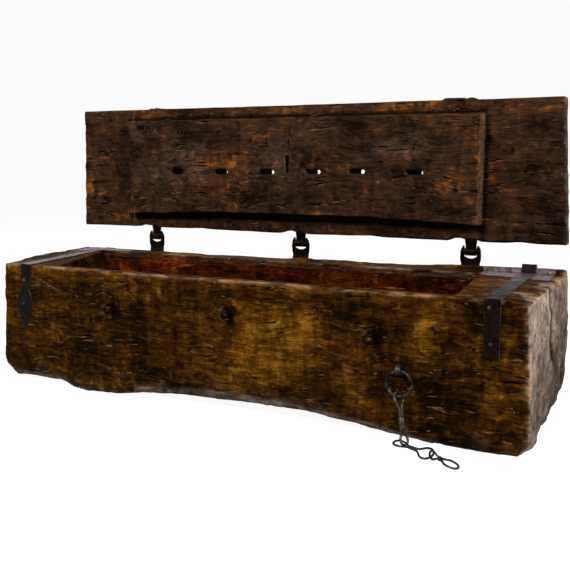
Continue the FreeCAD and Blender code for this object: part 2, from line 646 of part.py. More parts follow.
def blend(s, s0, s1, v0, v1):
    share = min(max((s - s0) / (s1 - s0), 0.0), 1.0)
    return v0 + (v1 - v0) * share * share * (3 - 2 * share)


def middle_roll(s):
    return blend(s, 40.0, 90.0, LEFT_ROLL, RIGHT_ROLL)


bite = FOOT_EYE - HASP_BAR - LINK_BAR - 4 * LINK_PLAY
held = foot + sideways * HASP_SHIFT + fall * bite
left_z = held.z - LEFT_HALF * math.sin(math.radians(LEFT_ROLL))
right_z = LINK_PLAY + LINK_BAR + RIGHT_HALF * math.sin(math.radians(RIGHT_ROLL))
middle_dir = CHAIN_DIR + V(0, 0, (right_z - left_z) / (RIGHT_AT - LEFT_AT))
middle_start = V(held.x, held.y, left_z) - middle_dir * LEFT_AT
middle_start -= CHAIN_ACROSS * (LEFT_HALF * math.cos(math.radians(LEFT_ROLL)))
middle = link(middle_start, middle_dir, CHAIN_ACROSS, MIDDLE_PROFILE, LINK_BAR, middle_roll)

# End link: its first eye stands upright round the bar of the middle link, its slot lies flat
END_EYE = 10.75
END_ROLL = 84.0
SLOT_ROLL = 20.0
SLOT_HALF = 10.4
END_PROFILE = [(0, 0), (1.4, 5.2), (5.2, 9.2), (END_EYE, END_EYE), (16.5, 9.4), (22, 6.2), (28, 3.7),
               (36, 3.5), (44, 3.6), (50, 5.4), (57, 8.8), (66, SLOT_HALF), (78, 10.2), (88, 8.6),
               (94.5, 5.2), (98.5, 0)]


def end_roll(s):
    return blend(s, 18.0, 54.0, END_ROLL, SLOT_ROLL)


END_RISE = 0.9
end_z = LINK_PLAY + LINK_BAR + END_EYE + END_RISE
slot_z = LINK_PLAY + LINK_BAR + SLOT_HALF * math.sin(math.radians(SLOT_ROLL)) + END_RISE
end_dir = CHAIN_DIR + V(0, 0, (slot_z - end_z) / 88.0)
hook = middle_start + CHAIN_DIR * 139.5
end_start = V(hook.x, hook.y, end_z) - CHAIN_DIR * (2 * LINK_BAR + 10 * LINK_PLAY)
end = link(end_start, end_dir, CHAIN_ACROSS, END_PROFILE, LINK_BAR, end_roll)

export("trunk", trunk)
for name, shape in plates.items():
    export(name, shape)
for name, shapes in nail_groups.items():
    export(name, Part.makeCompound(shapes))
export("lid_board", to_open(lid))
for name, shape in lid_plates.items():
    export(name, to_open(shape))
for name, shapes in lid_nails.items():
    export(name, to_open(Part.makeCompound(shapes)))
export("clinched_nails", to_open(Part.makeCompound(clinched)))
export("pull_ring", pull_ring)
export("hasp_link", hasp)
export("middle_link", middle)
export("end_link", end)
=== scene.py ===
import json
import math

import bpy
import numpy as np
from mathutils import Matrix, Vector


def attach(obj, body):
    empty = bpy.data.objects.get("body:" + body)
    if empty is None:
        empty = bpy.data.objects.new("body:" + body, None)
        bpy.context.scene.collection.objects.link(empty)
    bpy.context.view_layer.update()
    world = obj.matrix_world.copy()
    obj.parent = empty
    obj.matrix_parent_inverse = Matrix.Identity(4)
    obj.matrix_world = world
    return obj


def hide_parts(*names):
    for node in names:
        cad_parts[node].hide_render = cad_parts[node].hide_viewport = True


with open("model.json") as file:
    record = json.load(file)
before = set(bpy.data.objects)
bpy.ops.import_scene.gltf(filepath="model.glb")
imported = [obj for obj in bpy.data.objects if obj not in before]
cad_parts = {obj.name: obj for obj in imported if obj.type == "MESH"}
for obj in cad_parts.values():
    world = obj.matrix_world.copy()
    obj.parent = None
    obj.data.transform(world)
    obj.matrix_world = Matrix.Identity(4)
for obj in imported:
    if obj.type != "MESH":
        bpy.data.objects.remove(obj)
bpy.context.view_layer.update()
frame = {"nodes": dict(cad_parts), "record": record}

# Sizes of the solids, in metres
HALF_D, HIGH = 0.228, 0.410
RIM_FRONT, RIM_BACK = -0.190, 0.165  # the hollow's inner arrises
HOLLOW_HALF, RIM_HALF, HOLLOW_FLOOR = 0.78, 0.75, 0.09
PIVOT_Y, PIVOT_Z, OPEN = 0.238, 0.464, math.radians(94.0)
LID_UNDER, LID_TOP, LID_BACK, FIELD_FACE = 0.4143, 0.4623, 0.197, 0.3843
FIELD_X0, FIELD_X1, FIELD_FRONT, FIELD_BACK = -0.644, 0.659, -0.183, 0.152
HALF_FIELD = 0.67

# Meshes and camera
TRUNK_VOXEL, LID_VOXEL, BAND_VOXEL, NAIL_VOXEL, ROD_VOXEL = 0.0055, 0.0045, 0.0018, 0.0012, 0.0010
FRAME_PX, FOCAL_PX, SENSOR = 570.0, 850.0, 36.0
CAMERA_AT = (1.323, -2.376, 0.850)


# ---------------------------------------------------------------- noise and mesh helpers
def hashed(ix, iy, iz, seed):
    ix, iy, iz = (np.asarray(v, np.int64) for v in (ix, iy, iz))
    h = (ix * 73856093) ^ (iy * 19349663) ^ (iz * 83492791) ^ (seed * 2654435761)
    h = (h ^ (h >> 13)) * 1274126177 & 0xFFFFFFFF
    h = (h ^ (h >> 16)) * 668265263 & 0xFFFFFFFF
    return ((h ^ (h >> 15)) & 0xFFFFFF) / float(0x7FFFFF) - 1.0


def vnoise(p, seed):
    base = np.floor(p).astype(np.int64)
    f = p - base
    f = f * f * f * (f * (f * 6 - 15) + 10)
    total = np.zeros(len(p))
    for dx in (0, 1):
        wx = f[:, 0] if dx else 1 - f[:, 0]
        for dy in (0, 1):
            wy = f[:, 1] if dy else 1 - f[:, 1]
            for dz in (0, 1):
                wz = f[:, 2] if dz else 1 - f[:, 2]
                corner = (base[:, 0] + dx, base[:, 1] + dy, base[:, 2] + dz)
                total += wx * wy * wz * hashed(*corner, seed)
    return total


def fbm(p, size, seed, octaves=3):
    """Fractal noise; size is the (x, y, z) wavelength in metres."""
    q = p / np.asarray(size, float)
    out = np.zeros(len(p))
    gain = 1.0
    for i in range(octaves):
        out += gain * vnoise(q * (2 ** i) + 17.3 * i, seed + i)
        gain *= 0.5
    return out


def smooth(v, a, b):
    t = np.clip((v - a) / (b - a), 0, 1)
    return t * t * (3 - 2 * t)


def bell(v, width):
    """1 where v is 0, falling off over about the width."""
    return np.exp(-(v / width) ** 2)


def along_edge(a, b, width):
    """1 on the edge where a and b are both 0, falling off over about the width."""
    return np.exp(-(a ** 2 + b ** 2) / width ** 2)


def coords(mesh):
    co = np.empty(len(mesh.vertices) * 3)
    mesh.vertices.foreach_get("co", co)
    return co.reshape(-1, 3)


def put(mesh, co):
    mesh.vertices.foreach_set("co", np.ascontiguousarray(co).ravel())
    mesh.update()


def normals(mesh):
    n = np.empty(len(mesh.vertices) * 3)
    mesh.vertex_normals.foreach_get("vector", n)
    return n.reshape(-1, 3)


def attribute(mesh, name, values):
    a = mesh.attributes.new(name, "FLOAT", "POINT")
    a.data.foreach_set("value", np.ascontiguousarray(values, np.float32))


def remeshed(node, voxel, name):
    """New object with the node's shape as an even, closed mesh."""
    src = frame["nodes"][node]
    ob = bpy.data.objects.new(name, src.data.copy())
    ob.matrix_world = src.matrix_world.copy()
    bpy.context.scene.collection.objects.link(ob)
    mod = ob.modifiers.new("remesh", "REMESH")
    mod.mode = "VOXEL"
    mod.voxel_size = voxel
    mod.adaptivity = 0.0
    mod.use_smooth_shade = True
    dg = bpy.context.evaluated_depsgraph_get()
    mesh = bpy.data.meshes.new_from_object(ob.evaluated_get(dg))
    ob.modifiers.clear()
    ob.data = mesh
    world = np.array(ob.matrix_world)
    co = coords(mesh) @ world[:3, :3].T + world[:3, 3]
    ob.matrix_world = Matrix.Identity(4)
    put(mesh, co)
    mesh.name = name
    mesh.materials.clear()
    mesh.polygons.foreach_set("use_smooth", np.ones(len(mesh.polygons), bool))
    return ob


def neighbours_mean(mesh, co, rounds, amount=0.5, mask=None):
    """Move each vertex towards the mean of its neighbours."""
    edges = np.empty(len(mesh.edges) * 2, np.int64)
    mesh.edges.foreach_get("vertices", edges)
    a, b = edges[0::2], edges[1::2]
    count = np.bincount(a, minlength=len(co)) + np.bincount(b, minlength=len(co))
    count = np.maximum(count, 1)[:, None]
    for _ in range(rounds):
        total = np.stack([np.bincount(a, co[b, k], len(co)) + np.bincount(b, co[a, k], len(co))
                          for k in range(3)], axis=1)
        step = (total / count - co) * amount
        co = co + (step if mask is None else step * mask[:, None])
    return co


def round_edge(p, na, da, nb, db, r, where=None):
    """Round the arris between two planes n.p = d (outward normals) to a per-vertex radius r."""
    a = da - p @ na
    b = db - p @ nb
    dx, dy = r - a, r - b
    reach = np.hypot(dx, dy)
    hit = (a < r) & (b < r) & (reach > r) & (a > -0.004) & (b > -0.004)
    if where is not None:
        hit &= where
    k = np.where(hit, 1 - r / np.maximum(reach, 1e-9), 0.0)
    shift_a = dx * k
    shift_b = dy * k
    return p - shift_a[:, None] * na - shift_b[:, None] * nb


def spots(p, marks, plane):
    """Sum of soft oval marks: (u, v, half length, half width, angle in degrees, strength)."""
    u, v = p[:, plane[0]], p[:, plane[1]]
    out = np.zeros(len(p))
    for cu, cv, lu, lv, turn, power in marks:
        c, s = math.cos(math.radians(turn)), math.sin(math.radians(turn))
        du, dv = u - cu, v - cv
        e = ((du * c + dv * s) / lu) ** 2 + ((-du * s + dv * c) / lv) ** 2
        out += power * np.exp(-e)
    return out


AX, AY, AZ = np.eye(3)


# ---------------------------------------------------------------- shader helpers
class Nodes:
    """A material with one Principled shader, and short ways to add nodes to it."""

    def __init__(self, name):
        self.mat = bpy.data.materials.new(name)
        self.mat.use_nodes = True
        self.tree = self.mat.node_tree
        self.tree.nodes.clear()
        self.out = self.tree.nodes.new("ShaderNodeOutputMaterial")
        self.bsdf = self.tree.nodes.new("ShaderNodeBsdfPrincipled")
        self.tree.links.new(self.bsdf.outputs[0], self.out.inputs[0])
        self.coord = self.tree.nodes.new("ShaderNodeTexCoord").outputs["Object"]

    def new(self, kind, **props):
        node = self.tree.nodes.new(kind)
        for key, value in props.items():
            setattr(node, key, value)
        return node

    def link(self, a, b):
        self.tree.links.new(a, b)

    def put(self, socket, value):
        if isinstance(value, bpy.types.NodeSocket):
            self.link(value, socket)
        else:
            socket.default_value = value

    def scaled(self, scale, shift=(0, 0, 0), turn=(0, 0, 0), source=None):
        m = self.new("ShaderNodeMapping")
        self.put(m.inputs["Vector"], source or self.coord)
        m.inputs["Scale"].default_value = scale
        m.inputs["Location"].default_value = shift
        m.inputs["Rotation"].default_value = turn
        return m.outputs[0]

    def noise(self, vector, detail=4.0, rough=0.55, distort=0.0, size=1.0):
        n = self.new("ShaderNodeTexNoise")
        self.put(n.inputs["Vector"], vector)
        n.inputs["Scale"].default_value = size
        n.inputs["Detail"].default_value = detail
        n.inputs["Roughness"].default_value = rough
        n.inputs["Distortion"].default_value = distort
        return n.outputs["Fac"]

    def math(self, op, a, b=0.0, c=0.0, clamp=False):
        n = self.new("ShaderNodeMath", operation=op, use_clamp=clamp)
        for socket, value in zip(n.inputs, (a, b, c)):
            self.put(socket, value)
        return n.outputs[0]

    def span(self, value, lo, hi, out_lo=0.0, out_hi=1.0):
        n = self.new("ShaderNodeMapRange", interpolation_type="SMOOTHSTEP")
        for key, v in (("Value", value), ("From Min", lo), ("From Max", hi), ("To Min", out_lo),
                       ("To Max", out_hi)):
            self.put(n.inputs[key], v)
        return n.outputs[0]

    def mix(self, fac, a, b, mode="MIX"):
        n = self.new("ShaderNodeMix", data_type="RGBA", blend_type=mode)
        self.put(n.inputs[0], fac)
        self.put(n.inputs[6], a if isinstance(a, bpy.types.NodeSocket) else (*a, 1.0))
        self.put(n.inputs[7], b if isinstance(b, bpy.types.NodeSocket) else (*b, 1.0))
        return n.outputs[2]

    def attr(self, name):
        return self.new("ShaderNodeAttribute", attribute_name=name).outputs["Fac"]

    def bump(self, height, strength, distance, normal=None):
        n = self.new("ShaderNodeBump")
        n.inputs["Strength"].default_value = strength
        n.inputs["Distance"].default_value = distance
        self.put(n.inputs["Height"], height)
        if normal is not None:
            self.put(n.inputs["Normal"], normal)
        return n.outputs[0]


def srgb(r, g, b):
    def f(c):
        c /= 255.0
        return c / 12.92 if c <= 0.04045 else ((c + 0.055) / 1.055) ** 2.4
    return (f(r), f(g), f(b))


def ramp(nd, value, stops):
    """Colour ramp through (place, sRGB colour) stops."""
    node = nd.new("ShaderNodeValToRGB")
    elements = node.color_ramp.elements
    while len(elements) < len(stops):
        elements.new(0.5)
    for element, (place, colour) in zip(elements, stops):
        element.position = place
        element.color = (*srgb(*colour), 1.0)
    nd.put(node.inputs[0], value)
    return node.outputs[0]


def strokes(nd, source, scale, tilt, reach, share, shift):
    """Short strokes: the middles of long thin cells, kept in a share of them."""
    v = nd.new("ShaderNodeTexVoronoi", feature="F1")
    leaning = nd.scaled((1, 1, 1), (0, 0, 0), (0, tilt, 0), source)
    nd.put(v.inputs["Vector"], nd.scaled(scale, shift, (0, 0, 0), leaning))
    v.inputs["Scale"].default_value = 1.0
    split = nd.new("ShaderNodeSeparateColor")
    nd.link(v.outputs["Color"], split.inputs[0])
    kept = nd.math("LESS_THAN", split.outputs[0], share)
    near = nd.span(v.outputs["Distance"], reach * 0.45, reach, 1.0, 0.0)
    return nd.math("MULTIPLY", nd.math("MULTIPLY", near, kept), nd.span(split.outputs[1], 0.0, 0.6))


def wavy(nd, amount):
    """Object coordinates with the grain bent gently up and down along the log."""
    bend = nd.noise(nd.scaled((4.2, 5.0, 5.0), (2.0, 7.0, 3.0)), 3.0, 0.5)
    bend = nd.math("MULTIPLY_ADD", bend, amount, -0.5 * amount)
    both = nd.new("ShaderNodeCombineXYZ")
    nd.link(bend, both.inputs[1])
    nd.link(bend, both.inputs[2])
    total = nd.new("ShaderNodeVectorMath", operation="ADD")
    nd.link(nd.coord, total.inputs[0])
    nd.link(both.outputs[0], total.inputs[1])
    return total.outputs[0]


def oak(name, stops, dark, pale, tint, grey_stops, gloss, depth, contrast):
    """Hewn, waxed old oak with the grain along X."""
    nd = Nodes(name)
    bent = wavy(nd, 0.10)

    def along(scale, shift=(0, 0, 0)):
        return nd.scaled(scale, shift, (0, 0, 0), bent)

    grain = nd.noise(along((5.0, 62, 62)), 8.0, 0.72, 0.3)
    streak = nd.noise(along((16, 170, 170), (2.0, 5.0, 1.0)), 4.0, 0.62)
    fibre = nd.noise(along((60, 420, 420)), 2.0, 0.6)
    patch = nd.noise(nd.scaled((24, 32, 32), (3.1, 1.7, 0.4)), 6.0, 0.66, 0.7)
    smear = nd.noise(nd.scaled((52, 52, 13), (5.2, 1.1, 8.4)), 4.0, 0.6, 0.4)
    cloud = nd.noise(nd.scaled((4.6, 8.5, 8.5), (1.3, 4.4, 2.2)), 3.0, 0.55, 0.5)
    tone = nd.math("MULTIPLY", grain, 0.18)
    for part, weight in ((streak, 0.15), (fibre, 0.05), (patch, 0.24), (smear, 0.13),
                         (cloud, 0.25)):
        tone = nd.math("MULTIPLY_ADD", part, weight, tone)
    tone = nd.math("MULTIPLY_ADD", tone, contrast, 0.47 - 0.5 * contrast)
    tone = nd.math("ADD", tone, nd.attr("lift"), clamp=True)
    colour = ramp(nd, tone, stops)
    grey = nd.math("MULTIPLY", nd.attr("grey"), nd.span(patch, 0.30, 0.55, 0.55, 1.0))
    calm = nd.math("MULTIPLY_ADD", patch, 0.45, nd.math("MULTIPLY", cloud, 0.35))
    calm = nd.math("MULTIPLY_ADD", fibre, 0.20, calm)
    calm = nd.math("MULTIPLY_ADD", calm, 3.0, -1.0)
    calm = nd.math("ADD", calm, nd.attr("lift"), clamp=True)
    colour = nd.mix(grey, colour, ramp(nd, calm, grey_stops))
    colour = nd.mix(nd.attr("amber"), colour, nd.mix(1.0, colour, tint, "MULTIPLY"))
    # random dark blotches, added to the attribute's stains and painted shadows
    blot = nd.noise(nd.scaled((15, 26, 26), (9.3, 3.4, 6.2)), 6.0, 0.70, 1.0)
    stain_and_shade = nd.math("ADD", nd.span(blot, 0.54, 0.66, 0.0, 0.85), nd.attr("stain_and_shade"), clamp=True)
    colour = nd.mix(stain_and_shade, colour, dark)
    gate = nd.noise(nd.scaled((4.0, 9.0, 9.0), (9.0, 2.0, 6.0)), 3.0)
    gate = nd.span(gate, 0.40, 0.55, 0.25, 1.0)
    crack, edge = nd.attr("crack"), 0.0
    gate = nd.math("MULTIPLY", gate, nd.span(nd.attr("grey"), 0.3, 0.8, 1.0, 0.25))
    for scale, tilt, share, shift in (((4.2, 115, 115), 0.05, 0.13, (0.3, 0.6, 0.1)),
                                      ((9.0, 150, 150), -0.05, 0.16, (5.3, 2.6, 8.1)),
                                      ((3.4, 140, 140), 0.16, 0.07, (3.3, 7.7, 1.9))):
        dent = strokes(nd, bent, scale, tilt, 0.40, share, shift)
        crack = nd.math("MAXIMUM", crack, nd.math("MULTIPLY", dent, gate))
        # a pale copy of each crack stroke, shifted down beside it: a painted highlight on the
        # crack's lower lip
        below = (shift[0], shift[1] + 0.45, shift[2] + 0.45)
        lit = strokes(nd, bent, scale, tilt, 0.26, share, below)
        edge = nd.math("MAXIMUM", edge, nd.math("MULTIPLY", lit, gate))
    colour = nd.mix(crack, colour, tuple(c * 0.3 for c in dark))
    long_scar = strokes(nd, bent, (3.0, 270, 270), 0.13, 0.32, 0.05, (7.1, 2.6, 4.1))
    scar = strokes(nd, bent, (5.5, 230, 230), -0.10, 0.30, 0.03, (1.4, 5.2, 9.3))
    scar = nd.math("MAXIMUM", nd.math("MULTIPLY", long_scar, 0.55), nd.math("MULTIPLY", scar, 0.5))
    # pale where worn, plus the painted crack-lip highlights and the pale scratch strokes
    wear_and_highlight = nd.math("MULTIPLY", nd.attr("wear_and_highlight"), nd.span(streak, 0.34, 0.60, 0.25, 1.0))
    wear_and_highlight = nd.math("MAXIMUM", wear_and_highlight, nd.math("MAXIMUM", nd.math("MULTIPLY", edge, 0.38), scar))
    colour = nd.mix(wear_and_highlight, colour, pale)
    nd.link(colour, nd.bsdf.inputs["Base Color"])
    rough = nd.span(patch, 0.30, 0.70, gloss, gloss + 0.22)
    nd.link(nd.math("ADD", rough, nd.math("MULTIPLY", crack, 0.3), clamp=True),
            nd.bsdf.inputs["Roughness"])
    nd.bsdf.inputs["Specular IOR Level"].default_value = 0.012  # waxed, but almost without gloss
    height = nd.math("MULTIPLY_ADD", grain, 0.9, nd.math("MULTIPLY", crack, -0.6))
    height = nd.math("MULTIPLY_ADD", patch, 0.7, height)
    height = nd.math("MULTIPLY", height, nd.span(nd.attr("grey"), 0.3, 0.9, 1.0, 0.35))
    coarse = nd.bump(height, 1.0, depth)
    fine = nd.bump(nd.math("MULTIPLY_ADD", fibre, 0.5, streak), 1.0, depth * 0.45, coarse)
    nd.link(fine, nd.bsdf.inputs["Normal"])
    return nd.mat


def iron(name, dark, light, rust, rough, shine):
    """Forged iron: hammered, pitted, with a brown bloom and a painted sheen, a paler colour where
    the glare attribute is set.
    """
    nd = Nodes(name)
    hammer = nd.noise(nd.scaled((75, 75, 75)), 3.0, 0.55)
    pits = nd.noise(nd.scaled((420, 420, 420)), 4.0, 0.6)
    bloom = nd.noise(nd.scaled((34, 34, 34), (4, 1, 7)), 6.0, 0.68, 0.5)
    colour = nd.mix(nd.span(hammer, 0.38, 0.64), dark, light)
    colour = nd.mix(nd.span(bloom, 0.46, 0.66, 0.0, 0.80), colour, rust)
    colour = nd.mix(nd.span(pits, 0.52, 0.70, 0.0, 0.7), colour, tuple(c * 0.3 for c in dark))
    # painted sheen: a pale violet-grey laid on where the glare attribute is set, less where the
    # bloom is
    sheen = nd.math("MULTIPLY", nd.attr("glare"), nd.span(bloom, 0.36, 0.62, 0.95, 0.15))
    colour = nd.mix(sheen, colour, srgb(112, 94, 98))
    nd.link(colour, nd.bsdf.inputs["Base Color"])
    nd.bsdf.inputs["Metallic"].default_value = shine
    nd.link(nd.span(bloom, 0.3, 0.7, rough, rough + 0.22), nd.bsdf.inputs["Roughness"])
    nd.bsdf.inputs["Specular IOR Level"].default_value = 0.05
    coarse = nd.bump(hammer, 0.7, 0.0016)
    fine = nd.bump(pits, 0.6, 0.0006, coarse)
    nd.link(fine, nd.bsdf.inputs["Normal"])
    return nd.mat


GREY = ((0.0, (30, 20, 12)), (0.28, (66, 52, 41)), (0.5, (104, 90, 80)), (0.75, (140, 125, 114)),
        (1.0, (176, 160, 148)))
TRUNK = oak("trunk_oak",
            ((0.0, (8, 3, 0)), (0.20, (25, 11, 1)), (0.45, (54, 30, 4)), (0.66, (80, 48, 7)),
             (0.85, (106, 66, 13)), (1.0, (140, 94, 28))),
            srgb(9, 4, 1), srgb(184, 146, 108), srgb(255, 160, 110), GREY, 0.42, 0.0060, 6.0)
LID = oak("lid_oak",
          ((0.0, (12, 7, 4)), (0.22, (28, 17, 10)), (0.50, (50, 33, 22)), (0.70, (66, 42, 26)),
           (0.84, (98, 57, 26)), (1.0, (132, 78, 36))),
          srgb(8, 5, 3), srgb(140, 108, 80), srgb(255, 165, 110), GREY, 0.48, 0.0060, 5.2)
STRAP = iron("strap_iron", srgb(8, 4, 3), srgb(25, 17, 13), srgb(30, 15, 7), 0.30, 0.55)
# nail heads in a paler iron than the straps: a painted highlight
NAIL = iron("nail_iron", srgb(30, 24, 22), srgb(110, 98, 90), srgb(44, 28, 16), 0.36, 0.60)
LINK = iron("link_iron", srgb(18, 12, 10), srgb(76, 67, 60), srgb(34, 21, 13), 0.30, 0.60)

# ---------------------------------------------------------------- trunk
SEATS = (  # places where iron lies on the wood, as low and high corners
    ((-0.850, -0.236, 0.240), (-0.745, -0.220, 0.414)),
    ((0.782, -0.236, 0.248), (0.835, -0.220, 0.414)),
    ((-0.825, -0.23, 0.405), (-0.758, 0.24, 0.414)),
    ((0.782, -0.23, 0.405), (0.835, 0.24, 0.414)),
    ((-0.892, 0.105, 0.405), (-0.660, 0.235, 0.414)),
    ((0.662, 0.105, 0.405), (0.892, 0.235, 0.414)),
    ((-0.613, 0.220, 0.250), (-0.543, 0.245, 0.414)),
    ((-0.007, 0.220, 0.250), (0.063, 0.245, 0.414)),
    ((0.588, 0.220, 0.250), (0.658, 0.245, 0.414)),
    ((-0.825, 0.220, 0.29), (-0.758, 0.24, 0.414)),
    ((0.782, 0.220, 0.29), (0.835, 0.24, 0.414)),
    ((-0.445, -0.236, 0.270), (-0.425, -0.222, 0.308)),
    ((-0.003, -0.236, 0.292), (0.017, -0.222, 0.330)),
    ((0.464, -0.236, 0.257), (0.492, -0.222, 0.307)),
    ((0.547, -0.236, 0.176), (0.575, -0.222, 0.219)),
)


def seat_mask(p, near, far):
    """0 up to near from the seats, 1 from far on."""
    gap = np.full(len(p), 9.0)
    for lo, hi in SEATS:
        d = np.maximum(np.maximum(np.array(lo) - p, p - np.array(hi)), 0)
        gap = np.minimum(gap, np.linalg.norm(d, axis=1))
    return smooth(gap, near, far)


def end_face(p, side):
    """How far a point stands inside the splayed end (side 1 right, -1 left)."""
    if side > 0:
        face = 0.901 + 0.017 * (p[:, 1] + HALF_D) / 0.456 + 0.037 * (HIGH - p[:, 2])
        return face - p[:, 0]
    face = -0.887 - 0.017 * (p[:, 1] + HALF_D) / 0.456 - 0.105 * (HIGH - p[:, 2])
    return p[:, 0] - face


def lip(p):
    """The back rim stands up behind the closed lid, more towards the right end."""
    rise = 0.006 * smooth(p[:, 0], -0.05, 0.06) + 0.008 * smooth(p[:, 0], 0.40, 0.63)
    rise = rise + 0.003 * smooth(p[:, 0], 0.66, 0.85)
    return rise * smooth(p[:, 1], 0.205, 0.220) * smooth(p[:, 2], 0.26, 0.405)


def inner_wall(p):
    """Whether a point is on the hollow's back wall."""
    near = (np.abs(p[:, 1] - RIM_BACK) < 0.012) & (np.abs(p[:, 0]) < HOLLOW_HALF)
    return near & (p[:, 2] < HIGH - 0.003)


trunk = remeshed("trunk", TRUNK_VOXEL, "trunk_hewn")
p = coords(trunk.data)
x = p[:, 0]
free = seat_mask(p, 0.003, 0.026)
wander = vnoise(np.c_[x / 0.09, p[:, 1] / 0.11, p[:, 2] / 0.11], 3)
r_edge = np.clip((0.009 + 0.006 * wander) * (0.30 + 0.70 * free), 0.002, 0.02)
for na, da, nb, db in ((-AY, HALF_D, AZ, HIGH), (AY, HALF_D, AZ, HIGH)):
    p = round_edge(p, na, da, nb, db, r_edge)
inner = (p[:, 2] > HIGH - 0.02) & (np.abs(x) < HOLLOW_HALF)
r_inner = np.clip(r_edge * 0.9, 0.003, 0.02)
p = round_edge(p, AY, RIM_FRONT, AZ, HIGH, r_inner, inner & (p[:, 1] < -0.17))
r_inner = np.clip(r_edge * 0.5, 0.002, 0.01)
p = round_edge(p, -AY, -RIM_BACK, AZ, HIGH, r_inner, inner & (p[:, 1] > 0.15))
rim = bell(np.minimum(end_face(p, 1), end_face(p, -1)), 0.014)
p = neighbours_mean(trunk.data, p, 2, 0.5, np.clip(rim * free, 0, 1))
put(trunk.data, p)
n = normals(trunk.data)
hewn = fbm(p, (0.20, 0.080, 0.080), 11, 3)
facet = fbm(p, (0.055, 0.028, 0.028), 23, 3)
scallop = np.abs(vnoise(np.c_[x / 0.080, p[:, 1] / 0.052, p[:, 2] / 0.052], 31))
low = 1 - smooth(p[:, 2], 0.03, 0.10)
push = 0.0004 + 0.0022 * hewn - 0.0024 * scallop + 0.0010 * facet
push = push + low * 0.0020 * facet
push = np.where(free < 0.5, np.minimum(push, 0.0), push) * (0.05 + 0.95 * free)
push = np.clip(push, -0.007, 0.0035)
top = (n[:, 2] > 0.5) & (p[:, 2] > HIGH - 0.02)
push = np.where(top, np.clip(push, -0.004, 0.0005), push)
base = (p[:, 2] < 0.004) & (n[:, 2] < -0.5)
push = np.where(base, -0.0012 * np.abs(facet), push)
end_r = smooth(0.012 - end_face(p, 1), 0.0, 0.010)
push = push + end_r * 0.0022 * fbm(p, (0.03, 0.035, 0.09), 71, 3) * free
p = p + n * push[:, None]
y, z = p[:, 1], p[:, 2]
z[:] = np.maximum(z, 0.0)
z += lip(p)

# the front right corner has sunk; the left end is crowned outside the closed lid
corner = smooth(x, 0.845, 0.900) * (1 - smooth(y, -HALF_D, 0.02)) * smooth(z, 0.25, 0.41)
z -= 0.009 * corner
crown = (1 - smooth(x, -0.893, -0.880)) * bell(y + 0.06, 0.17) * (z > 0.39)
z += 0.008 * crown
p[:, 0] -= 0.003 * smooth(0.012 - end_face(p, -1), 0.0, 0.010)

# the right end is fuller high up at the back, and cut away along its foot
p[:, 0] += 0.0045 * end_r * smooth(z, 0.12, 0.25) * smooth(y, -0.05, 0.15)
foot = (1 - smooth(z, 0.02, 0.13)) * smooth(y, -0.19, 0.0)
p[:, 0] -= 0.016 * foot * smooth(0.05 - end_face(p, 1), 0.0, 0.04)

# shrinkage crack down the right end and the knot near its foot
end = 1 - smooth(end_face(p, 1), 0.006, 0.030)
line = 0.007 + (0.425 - z) * 0.062 + 0.004 * np.sin(z * 45) + 0.002 * np.sin(z * 140)
gape = bell(y - line, 0.0085) * smooth(z, 0.17, 0.24) * end
knot = np.exp(-((y - 0.165) / 0.024) ** 2 - ((z - 0.135) / 0.032) ** 2) * end
p[:, 0] -= 0.010 * gape + 0.014 * knot
put(trunk.data, p)

# where the trunk is rubbed pale
end = end * smooth(n[:, 0], 0.35, 0.75)
front = smooth(-n[:, 1], 0.5, 0.9) * (y < -0.2)
ragged = smooth(fbm(p, (0.045, 0.020, 0.020), 51, 3), -0.5, 0.7)
over_hollow = np.abs(x) < RIM_HALF
wear_and_highlight = 0.75 * along_edge(y + HALF_D - 0.004, z - HIGH + 0.003, 0.0055)
wear_and_highlight += 0.6 * along_edge(y - RIM_FRONT, z - HIGH, 0.006) * over_hollow
wear_and_highlight += 0.5 * along_edge(y - RIM_BACK, z - HIGH, 0.005) * over_hollow
wear_and_highlight += 0.9 * along_edge(end_face(p, 1), z - HIGH, 0.013)
wear_and_highlight += 0.8 * along_edge(end_face(p, 1), y + HALF_D, 0.010)
wear_and_highlight *= ragged
scratches = ((-0.456, 0.292, 0.011, 0.005, 4, 0.5), (-0.468, 0.270, 0.014, 0.003, 8, 0.6),
             (-0.014, 0.315, 0.010, 0.005, -3, 0.5), (-0.694, 0.345, 0.05, 0.0025, -22, 0.6))
wear_and_highlight += front * spots(p, scratches, (0, 2))

# where it is black: in the crack, painted shadow under and beside the staples, at the foot of the
# right strap
stain_and_shade = 0.85 * gape + 0.95 * knot
stain_and_shade = stain_and_shade + 0.4 * low * smooth(fbm(p, (0.16, 0.06, 0.06), 61, 3), -0.2, 0.6)
stains_and_staple_shadows = ((-0.423, 0.284, 0.018, 0.022, 0, 1.5), (-0.408, 0.266, 0.016, 0.011, 0, 1.0),
         (0.018, 0.303, 0.017, 0.022, 0, 1.5), (0.012, 0.280, 0.009, 0.016, 0, 1.0),
         (0.490, 0.278, 0.018, 0.024, 0, 1.5), (0.800, 0.262, 0.024, 0.016, 0, 0.7),
         (-0.060, 0.285, 0.018, 0.005, -6, 0.7), (-0.300, 0.296, 0.012, 0.004, 30, 0.7))
stain_and_shade += front * spots(p, stains_and_staple_shadows, (0, 2))
back = inner_wall(p)
stain_and_shade += 0.8 * back * bell(z - HIGH + 0.008, 0.003)
wear_and_highlight += 0.5 * back * bell(z - HIGH + 0.014, 0.002)

# where it is grey, and how light or dark it is
deck = smooth(n[:, 2], 0.6, 0.9) * (z > HIGH - 0.012)
inside = (np.abs(y + 0.012) < 0.196) & (np.abs(x) < 0.785) & (z < HIGH - 0.002)
well = inside & (z > HOLLOW_FLOOR)
